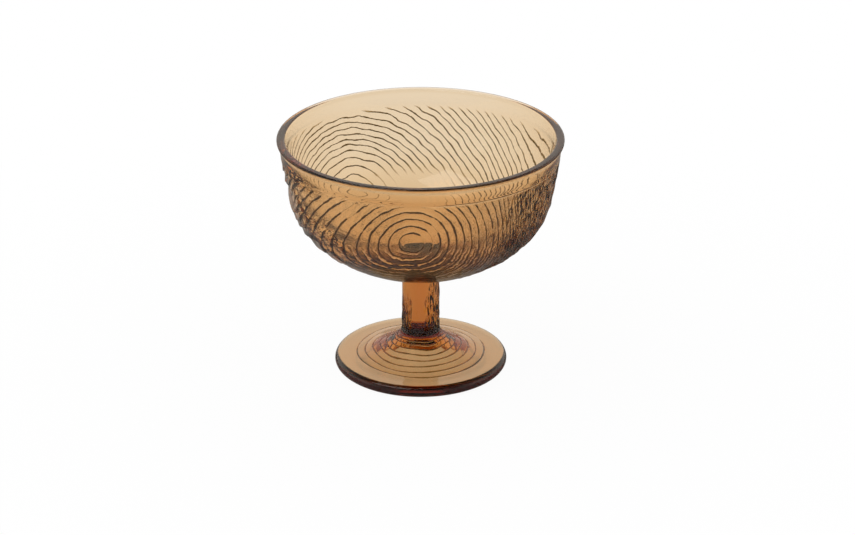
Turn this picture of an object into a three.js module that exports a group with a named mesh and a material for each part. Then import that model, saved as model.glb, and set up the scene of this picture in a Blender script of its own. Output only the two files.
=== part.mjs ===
// Footed ice cream glass in pressed amber glass: a deep bowl, a solid stem and a trumpet foot.
// The three pieces are pressed one by one and fused hot on flat round faces.
// Millimetres, +Z up. The glass stands on Z = 0 and all three pieces share the Z axis.
import * as THREE from 'three';

// Bowl, in section from its joint face (height 0) to the rim
const BOWL_HEIGHT = 57.8;
const BOWL_RIM_RADIUS = 57.55; // outside of the wall, carried up to the rim plane
const BOWL_LEAN = THREE.MathUtils.degToRad(10.25); // of the wall, outwards
const BOWL_WALL = 3;
const BOWL_BASE = 6.2; // glass between the joint face and the lowest point inside
const BOWL_UNDERSIDE_RADIUS = 66; // outer arc over the joint
const BOWL_FLOOR_RADIUS = 70.4; // inner arc over the middle of the floor
const BOWL_SHOULDER_RADIUS = 30.5; // outer arc between underside and wall
const BOWL_SHOULDER_HEIGHT = 33.1; // where the outer shoulder runs into the wall
const BOWL_FLOOR_SHOULDER_HEIGHT = 35.8; // where the inner shoulder runs into the wall

// Plain band under the lip: it lies back from the grained wall below it
const BAND_HEIGHT = 7.6; // rim to the upper edge of the grained wall
const BAND_RECESS = 0.2;
const BAND_RAMP = 2.4; // height over which the wall goes back to the band
const LIP_PROUD = 0.55; // how far the lip stands out of the band
const LIP_FLARE = 2.8; // height over which it flares out
const LIP_EDGE = 0.7; // rounding of its outer edge
const LIP_INSIDE = 1; // rounding of its inner edge

// Stem, a solid bar that flares a little at both joints
const STEM_LENGTH = 27.3;
const STEM_RADIUS = 7.6;
const STEM_FLARE_HEIGHT = 2.2;
const BOWL_JOINT_RADIUS = 8.2;
const FOOT_JOINT_RADIUS = 8.2;

// Foot, a disc whose top sweeps up to the stem
const FOOT_RADIUS = 35.5;
const FOOT_EDGE = 4.7; // thickness of the fully rounded edge
const FOOT_MARGIN = 4.5; // edge to where the top starts to rise
const FOOT_SWEEP_RADIUS = 32;
const FOOT_NECK_RADIUS = 1.5; // fillet from the sweep into the upright neck
const KICK_RADIUS = 24; // the underside stands on a flat ring outside this radius
const KICK_HEIGHT = 9;

// Growth rings pressed into the top of the foot
const RING_COUNT = 8;
const RING_WIDTH = 0.7;
const RING_DEPTH = 0.35;
const RING_START = 4.8; // bare length of the rise before the first ring
const RING_CLEAR = 2.2; // bare length of the rise after the last ring
const RING_CROWD = 1.3; // 1 spaces the rings evenly, more brings them closer towards the stem

// Fineness of the round surfaces
const SEGMENTS = 64;
const CHORD_ERROR = 0.05;
const FLARE_STEPS = 4;
const KICK_STEPS = 16;

const SAME_POINT = 1e-6;

// Amber of each piece as it looks in daylight: the thick stem is the deepest
const BOWL_COLOR = 0xb9752f;
const STEM_COLOR = 0x9c5318;
const FOOT_COLOR = 0xad6f36;
const GLASS_ROUGHNESS = 0.05;

const point = (radius, height) => new THREE.Vector2(radius, height);

// Points of an arc, close enough that no chord lies further than CHORD_ERROR from it.
function arc(centre, radius, from, to) {
  const step = 2 * Math.acos(1 - CHORD_ERROR / radius);
  const count = Math.max(2, Math.ceil(Math.abs(to - from) / step));
  return Array.from({ length: count + 1 }, (_, i) => {
    const angle = from + ((to - from) * i) / count;
    return point(centre.x + radius * Math.cos(angle), centre.y + radius * Math.sin(angle));
  });
}

// One outline from several stretches, without the points where two stretches meet twice.
function outline(...stretches) {
  const all = stretches.flat();
  return all.filter((p, i) => i === 0 || p.distanceTo(all[i - 1]) > SAME_POINT);
}

// A solid of revolution about Z from an outline that starts and ends on the axis.
function turned(name, section, color) {
  const geometry = new THREE.LatheGeometry(section, SEGMENTS).rotateX(Math.PI / 2);
  const glass = new THREE.MeshStandardMaterial({ color, roughness: GLASS_ROUGHNESS, metalness: 0 });
  const mesh = new THREE.Mesh(geometry, glass);
  mesh.name = name;
  return mesh;
}

// The leaning wall's radius at a height, at some depth under its outside.
function wallRadius(height, depth) {
  return BOWL_RIM_RADIUS - (BOWL_HEIGHT - height) * Math.tan(BOWL_LEAN) - depth / Math.cos(BOWL_LEAN);
}

// Half of a cup from a point at its bottom to the leaning wall: a base arc, then a shoulder arc that
// touches it from inside and runs into the wall at a height. Depth is under the wall's outside.
function cup(bottom, baseRadius, shoulderRadius, shoulderHeight, depth) {
  const inward = point(-Math.cos(BOWL_LEAN), Math.sin(BOWL_LEAN));
  const wallEnd = point(wallRadius(shoulderHeight, depth), shoulderHeight);
  const shoulderCentre = wallEnd.addScaledVector(inward, shoulderRadius);
  const apart = bottom.distanceTo(shoulderCentre);
  const towards = shoulderCentre.clone().sub(bottom).divideScalar(apart);
  const along = (apart ** 2 + baseRadius ** 2 - (baseRadius - shoulderRadius) ** 2) / (2 * apart);
  const aside = Math.sqrt(baseRadius ** 2 - along ** 2);
  const baseCentre = bottom.clone().addScaledVector(towards, along);
  baseCentre.addScaledVector(point(-towards.y, towards.x), aside);
  const angleOf = (p) => Math.atan2(p.y - baseCentre.y, p.x - baseCentre.x);
  const meet = angleOf(shoulderCentre);
  return outline(
    arc(baseCentre, baseRadius, angleOf(bottom), meet),
    arc(shoulderCentre, shoulderRadius, meet, -BOWL_LEAN),
  );
}

// The lip: a flare out of the band, a tight outer edge and a rounding into the inside of the wall.
function lip() {
  const flareHeight = BOWL_HEIGHT - LIP_FLARE;
  const flareFoot = point(wallRadius(flareHeight, BAND_RECESS), flareHeight);
  const edgeHeight = BOWL_HEIGHT - LIP_EDGE;
  const flareTop = point(wallRadius(edgeHeight, BAND_RECESS) + LIP_PROUD, edgeHeight);
  const reach = (edgeHeight - flareHeight) / 2;
  const flare = new THREE.CubicBezierCurve(
    flareFoot,
    point(flareFoot.x + reach * Math.tan(BOWL_LEAN), flareHeight + reach),
    point(flareTop.x, edgeHeight - reach),
    flareTop,
  );
  const insideHeight = BOWL_HEIGHT - LIP_INSIDE;
  const insideRadius = wallRadius(insideHeight, BOWL_WALL) + LIP_INSIDE / Math.cos(BOWL_LEAN);
  return outline(
    flare.getPoints(FLARE_STEPS),
    arc(point(flareTop.x - LIP_EDGE, edgeHeight), LIP_EDGE, 0, Math.PI / 2),
    arc(point(insideRadius, insideHeight), LIP_INSIDE, Math.PI / 2, Math.PI - BOWL_LEAN),
  );
}

function bowl() {
  const outside = cup(
    point(BOWL_JOINT_RADIUS, 0), BOWL_UNDERSIDE_RADIUS, BOWL_SHOULDER_RADIUS, BOWL_SHOULDER_HEIGHT, 0,
  );
  const inside = cup(
    point(0, BOWL_BASE), BOWL_FLOOR_RADIUS, BOWL_SHOULDER_RADIUS - BOWL_WALL, BOWL_FLOOR_SHOULDER_HEIGHT,
    BOWL_WALL,
  );
  const grainTop = BOWL_HEIGHT - BAND_HEIGHT;
  const bandFoot = grainTop + BAND_RAMP;
  const band = [
    point(wallRadius(grainTop, 0), grainTop),
    point(wallRadius(bandFoot, BAND_RECESS), bandFoot),
  ];
  return turned('bowl', outline([point(0, 0)], outside, band, lip(), inside.reverse()), BOWL_COLOR);
}

function stem() {
  const top = STEM_LENGTH;
  const flare = (jointRadius, jointHeight, direction) => {
    const end = new THREE.QuadraticBezierCurve(
      point(jointRadius, jointHeight),
      point(STEM_RADIUS, jointHeight + (direction * STEM_FLARE_HEIGHT) / 2),
      point(STEM_RADIUS, jointHeight + direction * STEM_FLARE_HEIGHT),
    );
    return end.getPoints(FLARE_STEPS);
  };
  const lower = flare(FOOT_JOINT_RADIUS, 0, 1);
  const upper = flare(BOWL_JOINT_RADIUS, top, -1).reverse();
  return turned('stem', outline([point(0, 0)], lower, upper, [point(0, top)]), STEM_COLOR);
}

// The foot's rising top as one curve, from the flat margin up to the joint with the stem.
function footRise() {
  const startRadius = FOOT_RADIUS - FOOT_MARGIN;
  const sweepCentre = point(startRadius, FOOT_EDGE + FOOT_SWEEP_RADIUS);
  const neckCentreRadius = FOOT_JOINT_RADIUS + FOOT_NECK_RADIUS;
  const between = FOOT_SWEEP_RADIUS - FOOT_NECK_RADIUS;
  const drop = Math.sqrt(between ** 2 - (startRadius - neckCentreRadius) ** 2);
  const neckCentre = point(neckCentreRadius, sweepCentre.y - drop);
  const meet = neckCentre.clone().sub(sweepCentre).angle();
  const rise = new THREE.Path();
  rise.absarc(sweepCentre.x, sweepCentre.y, FOOT_SWEEP_RADIUS, 1.5 * Math.PI, meet, true);
  rise.absarc(neckCentre.x, neckCentre.y, FOOT_NECK_RADIUS, meet, Math.PI, true);
  return rise;
}

const footTop = footRise();
const FOOT_HEIGHT = footTop.getPointAt(1).y;

// The rise with a V groove at each ring.
function ringedRise() {
  const length = footTop.getLength();
  const at = (distance) => footTop.getPointAt(distance / length);
  const middles = Array.from({ length: RING_COUNT }, (_, i) => {
    const share = 1 - (1 - i / (RING_COUNT - 1)) ** RING_CROWD;
    return RING_START + share * (length - RING_START - RING_CLEAR);
  });
  const grooves = middles.map((middle, i) => {
    const along = footTop.getTangentAt(middle / length);
    const bottom = at(middle).addScaledVector(point(-along.y, along.x), RING_DEPTH);
    const next = i + 1 < RING_COUNT ? middles[i + 1] : length;
    return [at(middle - RING_WIDTH / 2), bottom, at(middle + RING_WIDTH / 2), at((middle + next) / 2)];
  });
  return outline([at(0)], ...grooves, [at(length)]);
}

// The hollow under the foot: a cosine wave from its highest point down to the flat ring.
function kick() {
  return Array.from({ length: KICK_STEPS + 1 }, (_, i) => {
    const share = i / KICK_STEPS;
    return point(KICK_RADIUS * share, (KICK_HEIGHT * (1 + Math.cos(Math.PI * share))) / 2);
  });
}

function foot() {
  const edgeRadius = FOOT_EDGE / 2;
  const standRadius = FOOT_RADIUS - edgeRadius;
  const edge = arc(point(standRadius, edgeRadius), edgeRadius, -Math.PI / 2, Math.PI / 2);
  return turned('foot', outline(kick(), edge, ringedRise(), [point(0, FOOT_HEIGHT)]), FOOT_COLOR);
}

const glass = new THREE.Group();
const stemPiece = stem();
const bowlPiece = bowl();
stemPiece.position.z = FOOT_HEIGHT;
bowlPiece.position.z = FOOT_HEIGHT + STEM_LENGTH;
glass.add(foot(), stemPiece, bowlPiece);

export default glass;
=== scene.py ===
"""Footed ice cream glass in pressed amber glass.

Bowl, stem and foot are closed glass bodies, each a surface of revolution with relief: wood grain
round two knots on the bowl, bark on the stem and growth rings on the foot. Sections and relief are in
millimetres, and a mesh is in metres.
"""
import math

import bpy
import numpy as np
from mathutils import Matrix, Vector


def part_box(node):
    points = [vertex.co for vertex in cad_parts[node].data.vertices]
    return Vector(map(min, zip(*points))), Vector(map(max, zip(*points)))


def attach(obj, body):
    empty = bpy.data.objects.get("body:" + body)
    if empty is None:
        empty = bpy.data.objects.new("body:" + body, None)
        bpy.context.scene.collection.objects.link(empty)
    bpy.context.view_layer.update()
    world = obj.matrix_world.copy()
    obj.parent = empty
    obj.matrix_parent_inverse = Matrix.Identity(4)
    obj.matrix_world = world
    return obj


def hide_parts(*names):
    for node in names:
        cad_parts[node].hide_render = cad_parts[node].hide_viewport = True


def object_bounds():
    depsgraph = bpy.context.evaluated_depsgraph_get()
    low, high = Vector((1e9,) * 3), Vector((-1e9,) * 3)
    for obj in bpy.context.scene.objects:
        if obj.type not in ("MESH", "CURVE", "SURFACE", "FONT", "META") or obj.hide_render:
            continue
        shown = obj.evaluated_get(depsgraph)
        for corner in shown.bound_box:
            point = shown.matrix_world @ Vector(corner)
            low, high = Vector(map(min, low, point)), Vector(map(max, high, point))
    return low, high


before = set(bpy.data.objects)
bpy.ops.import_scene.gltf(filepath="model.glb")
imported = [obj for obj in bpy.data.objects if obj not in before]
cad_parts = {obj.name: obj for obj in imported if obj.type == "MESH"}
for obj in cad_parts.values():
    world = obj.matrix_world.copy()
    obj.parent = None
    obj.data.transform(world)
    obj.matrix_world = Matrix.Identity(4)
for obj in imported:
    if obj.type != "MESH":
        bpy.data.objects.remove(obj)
cad_low, cad_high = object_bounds()

MM = 0.001

# Heights of the joints and the rim, from the frame
FOOT_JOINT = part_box("stem")[0].z / MM
BOWL_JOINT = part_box("stem")[1].z / MM
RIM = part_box("bowl")[1].z / MM

# Bowl section
BOWL_RIM_RADIUS = 57.55
BOWL_LEAN = math.radians(10.25)
BOWL_WALL = 3.0
BOWL_BASE = 6.2
BOWL_UNDERSIDE_RADIUS = 66.0
BOWL_FLOOR_RADIUS = 70.4
BOWL_SHOULDER_RADIUS = 30.5
BOWL_SHOULDER_HEIGHT = 33.1
BOWL_FLOOR_SHOULDER_HEIGHT = 35.8
BAND_HEIGHT = 7.6
BAND_RECESS = 0.2
BAND_RAMP = 2.4
LIP_PROUD = 0.55
LIP_FLARE = 2.8
LIP_EDGE = 0.7
LIP_INSIDE = 1.0

# Stem and foot sections
JOINT_RADIUS = 8.2
STEM_RADIUS = 7.6
STEM_FLARE = 2.2
FOOT_RADIUS = 35.5
FOOT_EDGE = 4.7
FOOT_MARGIN = 4.5
FOOT_SWEEP_RADIUS = 32.0
FOOT_NECK_RADIUS = 1.5
KICK_RADIUS = 24.0
KICK_HEIGHT = 9.0
JOINT_GAP = 0.02

# Wood grain: knots by angle to the right of the front and by depth under the grain's upper edge, and
# the pitch of their rings up and down, and to the left and right near the knot and far from it
FRONT_KNOT = (math.radians(-4.0), 16.6)
FRONT_PITCH = 3.2
FRONT_LEFT = (3.9, 5.3)
FRONT_RIGHT = (3.25, 1.5)
FRONT_REACH = ((14, 26), (30, 48))
FIRST_RING = 0.35
BACK_KNOT = (math.radians(-140.0), 36.0)
BACK_PITCH = 3.9
BACK_SIDE = (5.3, 5.3)
BACK_REACH = ((8, 20), (8, 20))
BACK_CROWD_START, BACK_CROWD = 5, 0.55
BACK_LEVEL, BACK_LEVEL_SOFT = 92.0, 7
SLANT = 0.066
SLANT_START = 6.0
KNOT_BLEND = 1.6
GROOVE_DEPTH = 0.1
GROOVE_WIDTH = 0.45
BARK_DEPTH = 0.22
SHELL_DEPTH = 0.6
SHELL_STEP = 0.12
SHELL_SUNK = 0.5
SCALE_PITCH = 5.4
SCALE_SLANT = 1.3
SCALE_WANDER = 0.45
SCALE_DEPTH = 1.3
SCALE_SUNK = 0.7
PITCH_LIMITS = (0.3, 8)
FARTHEST, FARTHEST_STEPS = 240, 600

# Noise that bends the grain's lines: millimetres at the front, and how many more at the back
BEND, LIFT, RIPPLE = (0.5, 1.0), (0.3, 0.9), (0.12, 0.16)
BENT_BACK = (1.0, 2.0)

# Weight of the lines: at the front, and what each zone takes off or adds. Jitter bends them finely.
LINE_WEIGHT = 0.92
BACK_LIGHTER, RIGHT_LIGHTER = 0.34, 0.25
CHUNK_HEAVIER, TORN_HEAVIER = 0.1, 0.8
BROKEN_LIGHTER = 0.4
JITTER_FINE, JITTER_COARSE, JITTER_TORN = 0.4, 0.7, 1.6

# Zones of the bowl: angles to the right or left of the front over which each starts and ends, and
# depths under the grain's upper edge
BARK_START, BARK_END = (0.5, 0.85), (1.5, 1.75)
CHUNK_START, CHUNK_END = (0.72, 1.0), (1.55, 1.8)
SCALE_START, SCALE_END = (1.15, 1.35), (1.6, 1.75)
SCALE_TOP, SCALE_BOTTOM = (2, 6), (50, 56)
SCALE_SPREAD = ((12, 42), (0, 0.38))
LOW_START, LOW_LEFT, LOW_RIGHT = (19, 27), (0.4, 0.8), (1.0, 1.5)
BACK_START = (1.2, 1.8)
TORN_MIDDLE, TORN_HALF = 1.9, 0.3
BARE_HALF, BARE_START = 0.42, (25, 31)
LEDGE_START, LEDGE_END = (0.0, 0.25), (1.3, 1.6)
RIGHT_START = (0.2, 0.5)
BARK_RAGGED, CHUNK_RAGGED, SCALE_RAGGED = 0.12, 0.14, 0.1
GRAIN_FADE_TOP, GRAIN_FADE_BOTTOM = (0, 1.2), (0, 3)
KNOT_CORE = (0.4, 0.6)

# Bark of the stem: angles over which it starts and ends on each side, the share of the height where it
# ends on the left, and the height of the collar
STEM_RIGHT = ((0.3, 0.5), (2.0, 2.4))
STEM_LEFT = ((0.5, 0.62), (1.9, 2.3))
STEM_LEFT_TOP = (0.35, 0.7)
STEM_RAGGED = 0.12
STEM_BARK_DEPTH = 0.14
COLLAR_TOP = (0.5, 1.5)

# Mesh fineness
BOWL_COLUMNS = 650
BOWL_ROWS = (38, 64)
BOWL_COARSE = 0.45
STEM_COLUMNS, STEM_ROWS = 240, 96
FOOT_COLUMNS = 400
SHARP_ANGLE = math.radians(60)
SAME_POINT = 1e-6

# Growth rings of the foot
FOOT_RINGS = 8
FOOT_RING_START = 4.8
FOOT_RING_CLEAR = 2.2
FOOT_RING_CROWD = 1.3
FOOT_RING_WIDTH = 0.7
FOOT_RING_DEPTH = 0.06
FOOT_RING_UNEVEN = (0.85, 0.3)
FOOT_RING_WANDER = 0.3

# Amber: share of red, green and blue that passes, and how strongly the rest is taken out per metre
AMBER_PASS = (0.829, 0.527, 0.029, 1.0)
AMBER_DENSITY = 250.0
GLASS_IOR = 1.5
GLASS_ROUGHNESS = 0.02

# Cuts: how deep their painted shade is, the noise levels between which the painted shade of a furrow fades
# out, and the heights in millimetres that tilt the glass
PAINTED_CUT_SHADE = 0.99
PAINTED_SHADE_GREEN = 0.45
# Painted shade low on the front between the strokes, and more of it towards the bottom
PAINTED_LOW_SHADE = 0.86
PAINTED_BOTTOM_SHADE = 0.1
# Painted shade along the cuts of the foot's rings
PAINTED_RING_SHADE = 0.9
THINNEST = 0.03
BARK_FURROW = (0.435, 0.475)
CHIP_FURROW = (0.35, 0.38)
STEM_FURROW = (0.43, 0.5)
STROKE_WIDTH = (0.06, 0.2)
LINE_BUMP = 0.3
STROKE_BUMP = 0.34
BARK_BUMP = 0.65
CHIP_BUMP = 0.8
LEDGE_BUMP = 0.2
SKIN_BUMP = 0.03
STEM_BUMP = 1.6
COLLAR_BUMP = 0.8
RING_BUMP = 0.15

# Camera, fitted to the outline: the point it looks at, its distance and its height angle
IMAGE_WIDTH = 855
VIEW_TARGET = Vector((2.78, 0.0, 42.37)) * MM
VIEW_DISTANCE = 1141.6 * MM
VIEW_ELEVATION = math.radians(23.76)
FOCAL_PIXELS = 2789
SENSOR_WIDTH = 36.0

# Studio, in metres
FLOOR_HALF = 6.0
FLOOR_GAP = 0.0002
FLOOR_GREY = (0.9, 0.9, 0.9, 1)
FLOOR_MIRRORED = (0.2, 0.15, 0.1, 1)
SHADOW_REACH = (0.08, 0.3)
SKY_MIRRORED = (1.0, 0.88, 0.78, 1)
WHITE = (1, 1, 1, 1)
LAMP_TARGET = Vector((0, 0, 0.06))


# Sections

def arc(centre, radius, start, end, count):
    """Points of an arc as (radius, height) pairs, evenly spaced in angle."""
    angle = np.linspace(start, end, count)
    return np.column_stack((centre[0] + radius * np.cos(angle), centre[1] + radius * np.sin(angle)))


def joined(*stretches):
    """Stretches of a section end to end, without the point where two of them meet."""
    points = np.concatenate([np.atleast_2d(s) for s in stretches])
    apart = np.hypot(*np.diff(points, axis=0).T)
    return points[np.concatenate(([True], apart > SAME_POINT))]


def travelled(section):
    """Length along a section from its start to each of its points."""
    return np.concatenate(([0.0], np.cumsum(np.hypot(*np.diff(section, axis=0).T))))


def resampled(section, places):
    """Points of a section at given lengths from its start, by straight interpolation."""
    along = travelled(section)
    return np.column_stack([np.interp(places, along, section[:, i]) for i in (0, 1)])


def outward(section):
    """Unit normals of a section that runs up the outside: its direction turned to the right."""
    along = np.gradient(section, travelled(section), axis=0)
    along /= np.linalg.norm(along, axis=1, keepdims=True)
    return np.column_stack((along[:, 1], -along[:, 0]))


def wall_radius(height, depth):
    """Radius of the leaning wall at a height over the joint, at a depth under its outside."""
    top = RIM - BOWL_JOINT
    return BOWL_RIM_RADIUS - (top - height) * math.tan(BOWL_LEAN) - depth / math.cos(BOWL_LEAN)


def cup(bottom, base_radius, shoulder_radius, shoulder_height, depth, count):
    """Base arc from the bottom point, then a shoulder arc that touches it from inside and runs into
    the leaning wall at a height. The base centre lies base_radius from the bottom and
    base_radius - shoulder_radius from the shoulder centre."""
    bottom = np.array(bottom)
    inward = np.array((-math.cos(BOWL_LEAN), math.sin(BOWL_LEAN)))
    shoulder = np.array((wall_radius(shoulder_height, depth), shoulder_height)) + inward * shoulder_radius
    apart = np.linalg.norm(shoulder - bottom)
    towards = (shoulder - bottom) / apart
    along = (apart**2 + base_radius**2 - (base_radius - shoulder_radius) ** 2) / (2 * apart)
    aside = math.sqrt(base_radius**2 - along**2)
    base = bottom + towards * along + np.array((-towards[1], towards[0])) * aside
    start = math.atan2(*(bottom - base)[::-1])
    meet = math.atan2(*(shoulder - base)[::-1])
    return joined(
        arc(base, base_radius, start, meet, count),
        arc(shoulder, shoulder_radius, meet, -BOWL_LEAN, count),
    )


# Meshes

def around(count):
    """Angles of the columns over one full turn: 0 is the front, and the right is positive."""
    return np.linspace(-math.pi, math.pi, count, endpoint=False)


def revolved(name, radius, height, attributes, fused):
    """Closed mesh from a grid of radii and heights, rows along the section and columns round Z. A point
    of column angle a lies at (radius sin a, -radius cos a, height). Both ends close on the axis, and
    fused tells which of them are joint faces, with the second material."""
    rows, columns = radius.shape
    angle = around(columns)
    grid = np.stack((radius * np.sin(angle), -radius * np.cos(angle), height), axis=-1)
    poles = np.array([(0, 0, height[0].mean()), (0, 0, height[-1].mean())])
    points = np.concatenate((grid.reshape(-1, 3), poles)) * MM
    index = np.arange(rows * columns).reshape(rows, columns)
    following = np.roll(index, -1, axis=1)
    quads = np.stack((index[:-1], following[:-1], following[1:], index[1:]), axis=-1).reshape(-1, 4)
    first = np.stack((np.full(columns, rows * columns), following[0], index[0]), axis=-1)
    last = np.stack((np.full(columns, rows * columns + 1), index[-1], following[-1]), axis=-1)
    triangles = np.concatenate((first, last))
    corners = np.concatenate((quads.ravel(), triangles.ravel()))
    starts = np.concatenate((np.arange(len(quads)) * 4, quads.size + np.arange(len(triangles)) * 3))
    mesh = bpy.data.meshes.new(name)
    mesh.vertices.add(len(points))
    mesh.vertices.foreach_set("co", points.ravel())
    mesh.loops.add(len(corners))
    mesh.loops.foreach_set("vertex_index", corners)
    mesh.polygons.add(len(starts))
    mesh.polygons.foreach_set("loop_start", starts)
    mesh.update(calc_edges=True)
    mesh.polygons.foreach_set("use_smooth", np.ones(len(starts), bool))
    mesh.set_sharp_from_angle(angle=SHARP_ANGLE)
    joint = np.concatenate((np.zeros(len(quads), bool), np.repeat(fused, columns)))
    mesh.polygons.foreach_set("material_index", joint.astype(np.int32))
    for key, values in attributes.items():
        whole = np.concatenate((values.ravel(), values[0, :1], values[-1, :1]))
        mesh.attributes.new(key, "FLOAT", "POINT").data.foreach_set("value", whole.astype(np.float32))
    piece = bpy.data.objects.new(name, mesh)
    bpy.context.scene.collection.objects.link(piece)
    return piece


def smoothstep(low, high, value):
    """0 below low, 1 above high, and an S curve between them."""
    t = np.clip((value - low) / (high - low), 0, 1)
    return t * t * (3 - 2 * t)


def waves(angle, along, lobes, pitch, seed, count=14):
    """Soft noise round the axis: the mean of sines with whole numbers of lobes round the turn, up to
    lobes, and wavelengths along the section down to pitch, scaled to about -1 to 1."""
    pick = np.random.default_rng(seed)
    total = np.zeros(np.broadcast(angle, along).shape)
    for _ in range(count):
        turns = pick.integers(-lobes, lobes + 1)
        rate = pick.uniform(-1, 1) * 2 * math.pi / pitch
        total += np.sin(turns * angle + rate * along + pick.uniform(0, 2 * math.pi))
    return total / math.sqrt(count)


# Bowl

def ring_count(away, pitches, reach):
    """Rings crossed on the way out: one over the pitch, summed, as the pitch changes over a reach."""
    places = np.linspace(0, FARTHEST, FARTHEST_STEPS)
    share = smoothstep(*reach, places)
    rate = (1 - share) / pitches[0] + share / pitches[1]
    count = np.concatenate(([0], np.cumsum((rate[1:] + rate[:-1]) / 2 * np.diff(places))))
    return np.interp(away, places, count)


def front_rings(turn, radius, depth):
    """Ring number round the front knot: the length of (rings sideways, rings up or down). On the left
    the ovals slant, by a term in sideways times up."""
    sideways = np.abs(turn) * radius
    upward = FRONT_KNOT[1] - depth
    rings = np.where(turn > 0, ring_count(sideways, FRONT_RIGHT, FRONT_REACH[1]),
                     ring_count(sideways, FRONT_LEFT, FRONT_REACH[0]))
    slant = SLANT * upward * sideways**2 / (sideways + SLANT_START) * (turn < 0)
    return np.sqrt(np.maximum(rings**2 + (upward / FRONT_PITCH) ** 2 + slant, 0)) - FIRST_RING


def back_rings(turn, radius, depth):
    """Ring number round the back knot, as at the front, but crowded far from the knot and running level
    once they are far on the right of the glass."""
    sideways = np.abs(turn) * radius
    levelled = BACK_LEVEL_SOFT * np.logaddexp(0, (sideways - BACK_LEVEL) / BACK_LEVEL_SOFT)
    sideways = np.where(turn < 0, sideways - levelled, sideways)
    rings = np.hypot(ring_count(sideways, BACK_SIDE, BACK_REACH[0]), (BACK_KNOT[1] - depth) / BACK_PITCH)
    beyond = rings - BACK_CROWD_START
    return rings + BACK_CROWD * (np.sqrt(beyond**2 + 1) + beyond) / 2


def wrapped(angle):
    """An angle brought to between minus and plus half a turn."""
    return (angle + math.pi) % (2 * math.pi) - math.pi


def grain(angle, radius, depth):
    """Growth rings as a field: the nearer of the two knots' ring numbers, softly joined, with the
    lines bent by noise that is stronger at the back."""
    behind = smoothstep(*BENT_BACK, np.abs(angle))
    bend = (BEND[0] + BEND[1] * behind) * waves(angle, depth, lobes=5, pitch=40, seed=11)
    lift = (LIFT[0] + LIFT[1] * behind) * waves(angle, depth, lobes=7, pitch=32, seed=12)
    ripple = (RIPPLE[0] + RIPPLE[1] * behind) * waves(angle, depth, lobes=46, pitch=7, seed=13, count=30)
    turned = angle + (bend + ripple) / BOWL_RIM_RADIUS
    lifted = depth + lift + ripple
    front = front_rings(wrapped(turned - FRONT_KNOT[0]), radius, lifted)
    back = back_rings(wrapped(turned - BACK_KNOT[0]), radius, lifted)
    return -np.logaddexp(-KNOT_BLEND * front, -KNOT_BLEND * back) / KNOT_BLEND


def bark_share(angle, depth):
    """How far bark takes the place of clean lines on the right side, with ragged edges."""
    ragged = angle + BARK_RAGGED * waves(angle, depth, lobes=18, pitch=14, seed=16, count=24)
    return smoothstep(*BARK_START, ragged) * (1 - smoothstep(*BARK_END, ragged))


def chunk_share(angle, depth):
    """How far coarse bark takes the place of clean lines on the left side, with ragged edges."""
    ragged = -angle + CHUNK_RAGGED * waves(angle, depth, lobes=18, pitch=14, seed=17, count=24)
    return smoothstep(*CHUNK_START, ragged) * (1 - smoothstep(*CHUNK_END, ragged))


def scale_share(angle, depth):
    """How far overlapping scales take the place of lines on the left side, wider further down."""
    ragged = -angle + SCALE_RAGGED * waves(angle, depth, lobes=14, pitch=14, seed=19, count=24)
    ragged = ragged + np.interp(depth, *SCALE_SPREAD)
    upright = smoothstep(*SCALE_TOP, depth) * (1 - smoothstep(*SCALE_BOTTOM, depth))
    return upright * smoothstep(*SCALE_START, ragged) * (1 - smoothstep(*SCALE_END, -angle))


def low_shade_amount(angle, depth):
    """How far the wall belongs to the zone low on the front that has pale strokes with painted shade
    between them.
    """
    sides = (1 - smoothstep(*LOW_RIGHT, angle)) * (1 - smoothstep(*LOW_LEFT, -angle))
    return smoothstep(*LOW_START, depth) * sides


def ring_pitch(rings, places, radius):
    """Distance from line to line in millimetres: one over the steepness of the ring number."""
    across = np.gradient(rings, places, axis=0)
    step = 2 * math.pi / rings.shape[1] * radius
    along = (np.roll(rings, -1, axis=1) - np.roll(rings, 1, axis=1)) / (2 * step)
    return np.clip(1 / np.hypot(across, along), *PITCH_LIMITS)


def bowl_outside(grain_top):
    """The bowl's grained outside from the joint up, with its rows closer towards the top, and the length
    along it to each row."""
    outside = cup(
        (JOINT_RADIUS, 0), BOWL_UNDERSIDE_RADIUS, BOWL_SHOULDER_RADIUS, BOWL_SHOULDER_HEIGHT,
        depth=0, count=60,
    )
    outside = joined(outside, (wall_radius(grain_top, 0), grain_top))
    length = travelled(outside)[-1]
    places = np.concatenate((np.linspace(0, BOWL_COARSE * length, BOWL_ROWS[0], endpoint=False),
                             np.linspace(BOWL_COARSE * length, length, BOWL_ROWS[1])))
    return resampled(outside, places), places


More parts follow.
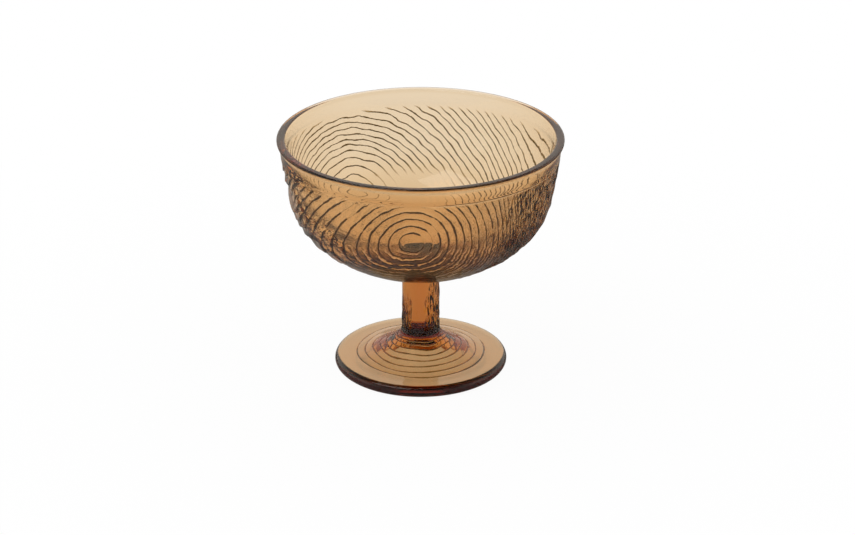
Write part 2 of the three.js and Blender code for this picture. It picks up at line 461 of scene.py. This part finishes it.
def bowl_piece():
    """Bowl as a revolved section with the grain pressed into its outside. A line lies where the ring
    number is whole, and its groove is a bell curve of the distance to it. Shells rise from line to line
    on the left, and scales from row to row of a slanting pattern."""
    top = RIM - BOWL_JOINT
    grain_top = top - BAND_HEIGHT
    outside, places = bowl_outside(grain_top)
    inside = cup(
        (0, BOWL_BASE), BOWL_FLOOR_RADIUS, BOWL_SHOULDER_RADIUS - BOWL_WALL,
        BOWL_FLOOR_SHOULDER_HEIGHT, depth=BOWL_WALL, count=11,
    )
    plain = joined(rim_section(grain_top, top), inside[:0:-1])
    angle = around(BOWL_COLUMNS)[None, :]
    depth = (places[-1] - places)[:, None]
    rings = grain(angle, outside[:, :1], depth)
    pitch = ring_pitch(rings, places, outside[:, :1])
    bark = bark_share(angle, depth)
    chunks = chunk_share(angle, depth)
    scaly = scale_share(angle, depth)
    share = rings - np.floor(rings)
    distance = np.minimum(share, 1 - share) * pitch
    rows = depth / SCALE_PITCH + SCALE_SLANT * angle
    rows = rows + SCALE_WANDER * waves(angle, depth, lobes=12, pitch=18, seed=18)
    scale = rows - np.floor(rows)
    edge = smoothstep(*GRAIN_FADE_TOP, depth) * smoothstep(*GRAIN_FADE_BOTTOM, places)[:, None]
    core = smoothstep(*KNOT_CORE, rings)
    groove = GROOVE_DEPTH * np.exp(-((distance / GROOVE_WIDTH) ** 2)) * core
    shells = smoothstep(0, SHELL_STEP, share) - share
    rough = BARK_DEPTH * bark * waves(angle, depth, lobes=190, pitch=9, seed=15, count=40)
    rough = rough + SHELL_DEPTH * chunks * (1 - scaly) * (shells - SHELL_SUNK)
    rough = rough + SCALE_DEPTH * scaly * (scale - SCALE_SUNK)
    relief = edge * (rough - groove)
    normal = outward(outside)
    plain_grid = np.repeat(plain[:, :, None], BOWL_COLUMNS, 2)
    radius = np.concatenate((outside[:, :1] + relief * normal[:, :1], plain_grid[:, 0]))
    height = np.concatenate((outside[:, 1:] + relief * normal[:, 1:], plain_grid[:, 1]))
    bare = np.exp(-((wrapped(angle - math.pi) / BARE_HALF) ** 4)) * smoothstep(*BARE_START, depth)
    behind = smoothstep(*BACK_START, np.abs(angle)) + 0 * depth
    torn = np.exp(-(((angle - TORN_MIDDLE) / TORN_HALF) ** 4)) + 0 * depth
    heavy = LINE_WEIGHT - BACK_LIGHTER * behind
    heavy = heavy - RIGHT_LIGHTER * smoothstep(*RIGHT_START, angle) * (1 - behind)
    grained = {
        "rings": rings,
        "grained": edge * core * (1 - bare) * (1 - scaly),
        "bark": edge * bark,
        "chunks": edge * chunks * (1 - scaly),
        "scaly": edge * scaly,
        "scale": scale,
        "low_shade_zone": low_shade_amount(angle, depth),
        "heavy": heavy + CHUNK_HEAVIER * chunks + TORN_HEAVIER * torn,
        "torn": torn,
        "behind": behind,
    }
    rest = np.zeros((len(plain), BOWL_COLUMNS))
    attributes = {key: np.concatenate((values, rest)) for key, values in grained.items()}
    attributes["pitch"] = np.concatenate((pitch, rest + 1))
    beyond = travelled(joined(outside[-1:], plain))[1:, None]
    under_edge = np.concatenate((depth, -beyond)) + 0 * angle
    attributes["under_edge"] = under_edge
    attributes["round"] = BOWL_RIM_RADIUS * angle + 0 * under_edge
    ledge = smoothstep(*LEDGE_START, angle) * (1 - smoothstep(*LEDGE_END, angle))
    attributes["ledge"] = ledge + 0 * under_edge
    return revolved("bowl_glass", radius, BOWL_JOINT + height, attributes, (True, False))


def curve(start, pull, push, end, count):
    """Cubic curve from start to end, drawn towards two points on its way."""
    t = np.linspace(0, 1, count)[:, None]
    start, pull, push, end = (np.array(p) for p in (start, pull, push, end))
    return (1 - t)**3 * start + 3 * (1 - t)**2 * t * pull + 3 * (1 - t) * t**2 * push + t**3 * end


def rim_section(grain_top, top):
    """Section of the rim: the plain band, a flare out to the lip, and the lip's top between a tight
    outer edge and a rounding into the inside of the wall."""
    ramp = np.linspace(0, 1, 6)[1:, None]
    heights = grain_top + BAND_RAMP * ramp
    band = np.hstack((wall_radius(heights, BAND_RECESS * smoothstep(0, 1, ramp)), heights))
    flare_start = (wall_radius(top - LIP_FLARE, BAND_RECESS), top - LIP_FLARE)
    edge_height = top - LIP_EDGE
    flare_end = (wall_radius(edge_height, BAND_RECESS) + LIP_PROUD, edge_height)
    half = (edge_height - flare_start[1]) / 2
    pull = (flare_start[0] + half * math.tan(BOWL_LEAN), flare_start[1] + half)
    push = (flare_end[0], edge_height - half)
    outer = (flare_end[0] - LIP_EDGE, edge_height)
    inside_height = top - LIP_INSIDE
    inner = (wall_radius(inside_height, BOWL_WALL) + LIP_INSIDE / math.cos(BOWL_LEAN), inside_height)
    return joined(
        band,
        curve(flare_start, pull, push, flare_end, 8),
        arc(outer, LIP_EDGE, 0, math.pi / 2, 7),
        arc(inner, LIP_INSIDE, math.pi / 2, math.pi - BOWL_LEAN, 10),
    )


# Stem

def stem_piece():
    """Stem as an upright bar that flares at both ends, with bark pressed into it. Its front, its back
    and its upper left stay smooth, and a rough collar runs round its foot."""
    length = BOWL_JOINT - FOOT_JOINT
    height = np.linspace(0, length, STEM_ROWS)[:, None]
    angle = around(STEM_COLUMNS)[None, :]
    ends = np.maximum(0, 1 - np.minimum(height, length - height) / STEM_FLARE)
    radius = STEM_RADIUS + (JOINT_RADIUS - STEM_RADIUS) * ends**2
    ragged = angle + STEM_RAGGED * waves(angle, height, lobes=6, pitch=9, seed=34)
    right = smoothstep(*STEM_RIGHT[0], ragged) * (1 - smoothstep(*STEM_RIGHT[1], ragged))
    left = smoothstep(*STEM_LEFT[0], -ragged) * (1 - smoothstep(*STEM_LEFT[1], -ragged))
    upward = height / length + 0.1 * waves(angle, height, lobes=9, pitch=12, seed=36)
    left = left * (1 - smoothstep(*STEM_LEFT_TOP, upward))
    bark = np.maximum(right, left)
    collar = (1 - smoothstep(*COLLAR_TOP, height)) + 0 * angle
    held = smoothstep(0, 0.6, np.minimum(height, length - height))
    relief = held * bark * STEM_BARK_DEPTH * waves(angle, height, lobes=40, pitch=7, seed=35, count=30)
    radius = np.minimum(radius + relief, JOINT_RADIUS)
    attributes = {
        "bark": bark + 0 * radius,
        "collar": collar,
        "round": STEM_RADIUS * angle + 0 * radius,
        "height": height + 0 * radius,
    }
    height = np.clip(height, JOINT_GAP, length - JOINT_GAP) + 0 * angle
    return revolved("stem_glass", radius, FOOT_JOINT + height, attributes, (True, True))


# Foot

def foot_rise():
    """The foot's top from the flat margin up to the joint: a wide sweep, then the neck's fillet, both
    touching."""
    start = FOOT_RADIUS - FOOT_MARGIN
    sweep = np.array((start, FOOT_EDGE + FOOT_SWEEP_RADIUS))
    neck_radius = JOINT_RADIUS + FOOT_NECK_RADIUS
    between = FOOT_SWEEP_RADIUS - FOOT_NECK_RADIUS
    neck = np.array((neck_radius, sweep[1] - math.sqrt(between**2 - (start - neck_radius) ** 2)))
    meet = math.atan2(*(neck - sweep)[::-1])
    return joined(
        arc(sweep, FOOT_SWEEP_RADIUS, -math.pi / 2, meet, 80),
        arc(neck, FOOT_NECK_RADIUS, meet, -math.pi, 40),
    )


def foot_piece():
    """Foot as a revolved section whose rows follow the growth rings: each ring is a groove a few rows
    wide, and rings wander a little along the section as they go round. The hollow under it is a cosine
    wave from the middle down to the flat ring that it stands on."""
    columns = FOOT_COLUMNS
    angle = around(columns)[None, :]
    rise = foot_rise()
    length = travelled(rise)[-1]
    share = 1 - (1 - np.linspace(0, 1, FOOT_RINGS)) ** FOOT_RING_CROWD
    centres = FOOT_RING_START + share * (length - FOOT_RING_START - FOOT_RING_CLEAR)
    across = np.linspace(-1, 1, 7) * FOOT_RING_WIDTH / 2
    neck = np.linspace(length - FOOT_RING_CLEAR, length, 12)[3:]
    places = np.sort(np.concatenate(((centres[:, None] + across).ravel(), (centres[1:] + centres[:-1]) / 2,
                                     (0, FOOT_RING_START / 2), neck)))
    nearest = np.abs(places[:, None] - centres).min(axis=1)
    groove = np.clip(1 - (nearest / (FOOT_RING_WIDTH / 2)) ** 2, 0, 1) ** 2
    held = smoothstep(0, FOOT_RING_CLEAR, np.minimum(places, length - places))
    wander = FOOT_RING_WANDER * waves(angle, places[:, None], lobes=7, pitch=14, seed=21, count=24)
    wander = wander * held[:, None]
    along = travelled(rise)
    moved = np.clip(places[:, None] + wander, 0, length)
    normal = outward(rise)
    middle, swing = FOOT_RING_UNEVEN
    uneven = middle + swing * waves(angle, places[:, None], lobes=14, pitch=20, seed=22)
    relief = -FOOT_RING_DEPTH * groove[:, None] * uneven
    radius = np.interp(moved, along, rise[:, 0]) + relief * np.interp(moved, along, normal[:, 0])
    height = np.interp(moved, along, rise[:, 1]) + relief * np.interp(moved, along, normal[:, 1])
    edge_radius = FOOT_EDGE / 2
    stand = FOOT_RADIUS - edge_radius
    inner = np.linspace(0, 1, 30)[1:]
    kick = np.column_stack((KICK_RADIUS * inner, KICK_HEIGHT * (1 + np.cos(math.pi * inner)) / 2))
    under = joined(kick, arc((stand, edge_radius), edge_radius, -math.pi / 2, math.pi / 2, 22))
    radius = np.concatenate((np.repeat(under[:, :1], columns, 1), radius))
    height = np.concatenate((np.repeat(under[:, 1:], columns, 1), height))
    far = np.full((len(under), columns), FOOT_RING_CLEAR)
    from_ring = np.concatenate((far, np.repeat(nearest[:, None], columns, 1)))
    attributes = {
        "from_ring": from_ring,
        "behind": smoothstep(1.0, 2.0, np.abs(angle)) + 0 * from_ring,
    }
    return revolved("foot_glass", radius, height, attributes, (False, True))


# Glass

class Wire:
    """A node's output in a material. Arithmetic on it adds Math nodes."""

    def __init__(self, shader, socket):
        self.shader = shader
        self.socket = socket

    def out(self, name):
        return Wire(self.shader, self.socket.node.outputs[name])

    def math(self, operation, *values):
        return self.shader.node("Math", {"operation": operation}, dict(enumerate(values)))

    def __add__(self, other):
        return self.math("ADD", self, other)

    def __sub__(self, other):
        return self.math("SUBTRACT", self, other)

    def __rsub__(self, other):
        return self.math("SUBTRACT", other, self)

    def __mul__(self, other):
        return self.math("MULTIPLY", self, other)

    __radd__ = __add__
    __rmul__ = __mul__


class Shader:
    """The node tree of a new material or of the world."""

    def __init__(self, owner):
        owner.use_nodes = True
        self.tree = owner.node_tree
        self.tree.nodes.clear()

    def node(self, kind, settings=None, inputs=None):
        """Adds a node of a type, sets its settings, then the values or links of its sockets."""
        made = self.tree.nodes.new("ShaderNode" + kind)
        for key, value in (settings or {}).items():
            setattr(made, key, value)
        for key, value in (inputs or {}).items():
            if isinstance(value, Wire):
                self.tree.links.new(value.socket, made.inputs[key])
            else:
                made.inputs[key].default_value = value
        return Wire(self, made.outputs[0]) if made.outputs else None


def attribute(shader, name):
    return shader.node("Attribute", {"attribute_name": name}).out("Fac")


def amber_body(shader, surface):
    """Glass body under a surface: amber that gets deeper with its thickness."""
    volume = shader.node("VolumeAbsorption", None, {"Color": AMBER_PASS, "Density": AMBER_DENSITY})
    shader.node("OutputMaterial", None, {"Surface": surface, "Volume": volume})


def amber_glass(name, shading):
    """Clear amber glass. The function passed in gives the share of the surface that has the painted shade
    of a cut, and a height in millimetres that tilts the surface. The painted shade takes out blue before
    green and green before red."""
    material = bpy.data.materials.new(name)
    shader = Shader(material)
    painted_shade, height = shading(shader)
    # The painted shade of the cuts lowers the glass's white base colour
    left = 1 - painted_shade
    green = left * (left * PAINTED_SHADE_GREEN + (1 - PAINTED_SHADE_GREEN))
    tint = shader.node("CombineColor", None, {0: left, 1: green, 2: left * left})
    amber_body(shader, shader.node("BsdfPrincipled", None, {
        "Base Color": tint,
        "Roughness": GLASS_ROUGHNESS,
        "IOR": GLASS_IOR,
        "Transmission Weight": 1.0,
        "Normal": shader.node("Bump", None, {"Distance": MM, "Height": height}),
    }))
    return material


def fused_glass():
    """Joint face inside the glass, where two pieces are fused: light goes straight through."""
    material = bpy.data.materials.new("amber_fused")
    shader = Shader(material)
    amber_body(shader, shader.node("BsdfPrincipled", None, {
        "Base Color": WHITE,
        "Roughness": 0.0,
        "IOR": 1.0,
        "Transmission Weight": 1.0,
    }))
    return material


def noise(shader, place, scale, detail=2.0):
    return shader.node("TexNoise", None, {"Vector": place, "Scale": scale, "Detail": detail})


def faded(shader, value, full, none):
    """1 where value is at full, 0 where it is at none, and an S curve between."""
    return shader.node("MapRange", {"interpolation_type": "SMOOTHSTEP"},
                       {"Value": value, "From Min": full, "From Max": none, "To Min": 1.0, "To Max": 0.0})


def mapped(shader, across, along):
    """A place on the unrolled surface, for noise that follows it."""
    return shader.node("CombineXYZ", None, {0: across, 1: along})


def largest(first, *others):
    """The largest of several shares."""
    for other in others:
        first = first.math("MAXIMUM", first, other)
    return first


def low_strokes(shader, number, place, across, down):
    """Thin pale strokes low on the front, left out of the painted shade, one beside each growth line and
    twice as many on the right, ragged, broken and fading out towards the bottom."""
    ragged = (noise(shader, place, scale=500.0) - 0.5) * 0.7 - 0.35
    beside = number.math("FRACT", number) + ragged
    shifted = number + 0.5
    between = shifted.math("FRACT", shifted) + ragged
    first = faded(shader, beside.math("ABSOLUTE", beside), *STROKE_WIDTH)
    second = faded(shader, between.math("ABSOLUTE", between), *STROKE_WIDTH)
    second = second * faded(shader, across, full=22.0, none=8.0)
    kept = faded(shader, noise(shader, place, scale=340.0), full=0.42, none=0.34)
    return largest(first, second) * faded(shader, down, full=40.0, none=52.0) * kept


def grain_shade_and_bump(shader):
    """Painted shade and bump of the grain. A fine cut with painted shade runs along each growth line,
    finely bent, of uneven width and broken here and there. Bark is upright dashes on the right and coarse
    slanting chips on the left, with painted shade in their furrows, and scales have painted shadow at their
    steps. Low on the front pale strokes tilt the glass, and the glass between them has painted shade. The
    ledge is the upper edge of the grain."""
    rings = attribute(shader, "rings")
    pitch = attribute(shader, "pitch")
    grained = attribute(shader, "grained")
    bark = attribute(shader, "bark")
    chunks = attribute(shader, "chunks")
    low_shade_zone = attribute(shader, "low_shade_zone")
    across = attribute(shader, "round")
    down = attribute(shader, "under_edge")
    place = shader.node("TexCoord").out("Object")
    fine = noise(shader, place, scale=900.0) - 0.5
    coarse = noise(shader, place, scale=260.0) - 0.5
    jitter = fine * JITTER_FINE + coarse * JITTER_COARSE
    jitter = jitter * (attribute(shader, "torn") * JITTER_TORN + 1)
    number = rings + jitter.math("DIVIDE", jitter, pitch)
    share = number.math("FRACT", number)
    distance = share.math("MINIMUM", share, 1 - share) * pitch
    ahead = 1 - attribute(shader, "behind")
    broken = faded(shader, noise(shader, place, scale=110.0), full=0.36, none=0.44) * ahead * BROKEN_LIGHTER
    width = attribute(shader, "heavy") * (noise(shader, place, scale=240.0) * 0.7 + 0.02) - broken
    width = width.math("MAXIMUM", width, THINNEST)
    line = faded(shader, distance, full=width * 0.75, none=width * 1.1) * grained
    dash = noise(shader, mapped(shader, across * 1.15 + down * 0.12, down * 0.26), scale=1.0, detail=1.0)
    slanting = mapped(shader, across * 0.16 - down * 0.08, across * 0.22 + down * 0.46)
    chip = noise(shader, slanting, scale=1.0)
    dashes = bark * faded(shader, dash, *BARK_FURROW)
    chips = chunks * faded(shader, chip, *CHIP_FURROW)
    steps = attribute(shader, "scaly") * faded(shader, attribute(shader, "scale"), full=0.95, none=0.7)
    steps = steps * faded(shader, noise(shader, place, scale=180.0), full=0.58, none=0.48)
    pale = low_strokes(shader, number, place, across, down)
    bottom = 1 - faded(shader, down, full=44.0, none=56.0)
    # Painted shade low on the front between the pale strokes, more of it towards the bottom
    painted_low_shade = low_shade_zone * (1 - pale) * (bottom * PAINTED_BOTTOM_SHADE + PAINTED_LOW_SHADE)
    # Painted shade along the cut lines, low on the front between the strokes, in the bark's furrows and
    # chips, and painted shadow at the scales' steps
    painted_shade = largest(line, painted_low_shade, dashes, chips, steps) * PAINTED_CUT_SHADE
    ledge = attribute(shader, "ledge") * faded(shader, down.math("ABSOLUTE", down), full=0.0, none=0.45)
    skin = grained * noise(shader, place, scale=1200.0) * SKIN_BUMP
    pressed = bark * (dash * BARK_BUMP - dashes * 0.2) + chunks * (chip * CHIP_BUMP - chips * 0.3)
    stroke = low_shade_zone * pale * share * pitch * STROKE_BUMP
    return painted_shade, pressed - line * LINE_BUMP - stroke + skin + ledge * LEDGE_BUMP


def bark_shade_and_bump(shader):
    """Bark of the stem as upright dashes with painted shade in their furrows, and a rough collar over the
    foot.
    """
    bark = attribute(shader, "bark")
    across = attribute(shader, "round")
    place = shader.node("TexCoord").out("Object")
    dash = noise(shader, mapped(shader, across * 1.3, attribute(shader, "height") * 0.22), scale=1.0)
    collar = attribute(shader, "collar") * noise(shader, place, scale=1100.0)
    # Painted shade in the bark's furrows, and the heights of the bark and the collar
    return bark * faded(shader, dash, *STEM_FURROW), bark * dash * STEM_BUMP + collar * COLLAR_BUMP


def ring_shade_and_bump(shader):
    """Thin cut along each growth ring of the foot with painted shade, finely bent and fading here and
    there, and thinner behind the stem."""
    place = shader.node("TexCoord").out("Object")
    jitter = (noise(shader, place, scale=700.0) - 0.5) * 0.3
    width = noise(shader, place, scale=120.0) - 0.12 - attribute(shader, "behind") * 0.15
    width = width.math("MAXIMUM", width, THINNEST)
    # Painted shade along each ring's cut
    line = faded(shader, attribute(shader, "from_ring") + jitter, full=width * 0.3, none=width)
    return line * PAINTED_RING_SHADE, noise(shader, place, scale=500.0) * 0.02 - line * RING_BUMP


# Studio

def place_floor():
    """Pale floor under the glass. The camera sees it white, with a soft shadow near the object. Rays that
    go through glass see it half lit and half white, and mirrored it is darker and warmer, most of all
    behind the glass."""
    mesh = bpy.data.meshes.new("floor")
    half = FLOOR_HALF
    corners = [(-half, -half, 0), (half, -half, 0), (half, half, 0), (-half, half, 0)]
    mesh.from_pydata(corners, [], [(0, 1, 2, 3)])
    floor = bpy.data.objects.new("floor", mesh)
    bpy.context.scene.collection.objects.link(floor)
    floor.location.z = cad_low.z - FLOOR_GAP
    material = bpy.data.materials.new("floor_white")
    shader = Shader(material)
    path = shader.node("LightPath")
    through = path.out("Is Transmission Ray")
    mirrored = path.out("Is Glossy Ray") * (1 - through)
    place = shader.node("TexCoord").out("Object")
    distance = shader.node("VectorMath", {"operation": "LENGTH"}, {0: place}).out("Value")
    near, away = SHADOW_REACH
    far = shader.node("MapRange", {"interpolation_type": "SMOOTHSTEP"},
                      {"Value": distance, "From Min": near, "From Max": away, "To Min": 0.95})
    behind = faded(shader, shader.node("SeparateXYZ", None, {0: place}).out("Y"), full=0.03, none=-0.07)
    dimmed = mirrored * (behind * 0.35 + 0.4)
    shade = shader.node("Mix", {"data_type": "RGBA"}, {0: dimmed, 6: FLOOR_GREY, 7: FLOOR_MIRRORED}).out(2)
    lit = shader.node("BsdfDiffuse", None, {"Color": shade})
    white = shader.node("Emission", None, {"Color": WHITE, "Strength": 1.0})
    share = largest(through * 0.5, path.out("Is Camera Ray") * far)
    surface = shader.node("MixShader", None, {0: share, 1: lit, 2: white})
    shader.node("OutputMaterial", None, {"Surface": surface})
    mesh.materials.append(material)


def lamp(name, place, width, height, watts):
    """Soft rectangular lamp that faces the glass."""
    light = bpy.data.lights.new(name, "AREA")
    light.shape = "RECTANGLE"
    light.size = width
    light.size_y = height
    light.energy = watts
    holder = bpy.data.objects.new(name, light)
    holder.location = place
    holder.rotation_euler = (LAMP_TARGET - holder.location).to_track_quat("-Z", "Y").to_euler()
    bpy.context.scene.collection.objects.link(holder)


def light_studio():
    """White surroundings for the camera. Through glass they are white up to a little over the horizon and
    grey overhead. Mirrored they are the same, but warmer, and dimmer on the camera's side. A large
    softbox hangs over the left."""
    world = bpy.data.worlds.new("studio")
    bpy.context.scene.world = world
    shader = Shader(world)
    path = shader.node("LightPath")
    crossing = path.out("Is Transmission Ray")
    direction = shader.node("SeparateXYZ", None, {0: shader.node("TexCoord").out("Generated")})
    upward = direction.out("Z")
    ahead = faded(shader, direction.out("Y"), full=-0.2, none=-0.7) * 0.5 + 0.5
    mirrored = path.out("Is Glossy Ray") * (1 - crossing)
    through = crossing * (faded(shader, upward, full=0.45, none=0.85) * 0.65 + 0.35)
    off = mirrored * (faded(shader, upward, full=0.42, none=0.77) * 0.8 + 0.2) * ahead
    strength = largest(path.out("Is Diffuse Ray") * 0.8, path.out("Is Camera Ray"), through, off)
    tint = shader.node("Mix", {"data_type": "RGBA"}, {0: mirrored, 6: WHITE, 7: SKY_MIRRORED}).out(2)
    white = shader.node("Background", None, {"Color": tint, "Strength": strength})
    shader.node("OutputWorld", None, {"Surface": white})
    lamp("softbox", (-0.5, -0.3, 1.3), width=1.0, height=0.8, watts=4.0)


def place_camera():
    """Camera at the fitted place, looking at the fitted point, with the photograph's focal length."""
    data = bpy.data.cameras.new("camera")
    data.sensor_width = SENSOR_WIDTH
    data.lens = FOCAL_PIXELS * SENSOR_WIDTH / IMAGE_WIDTH
    camera = bpy.data.objects.new("camera", data)
    back = Vector((0, -math.cos(VIEW_ELEVATION), math.sin(VIEW_ELEVATION)))
    camera.location = VIEW_TARGET + VIEW_DISTANCE * back
    camera.rotation_euler = (-back).to_track_quat("-Z", "Y").to_euler()
    bpy.context.scene.collection.objects.link(camera)
    bpy.context.scene.camera = camera


pieces = {
    "bowl": (bowl_piece(), amber_glass("amber_grained", grain_shade_and_bump)),
    "stem": (stem_piece(), amber_glass("amber_bark", bark_shade_and_bump)),
    "foot": (foot_piece(), amber_glass("amber_ringed", ring_shade_and_bump)),
}
joint_glass = fused_glass()
for node, (piece, material) in pieces.items():
    piece.data.materials.append(material)
    piece.data.materials.append(joint_glass)
    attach(piece, "root")
    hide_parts(node)

place_floor()
light_studio()
place_camera()
bpy.context.scene.view_settings.view_transform = "Standard"
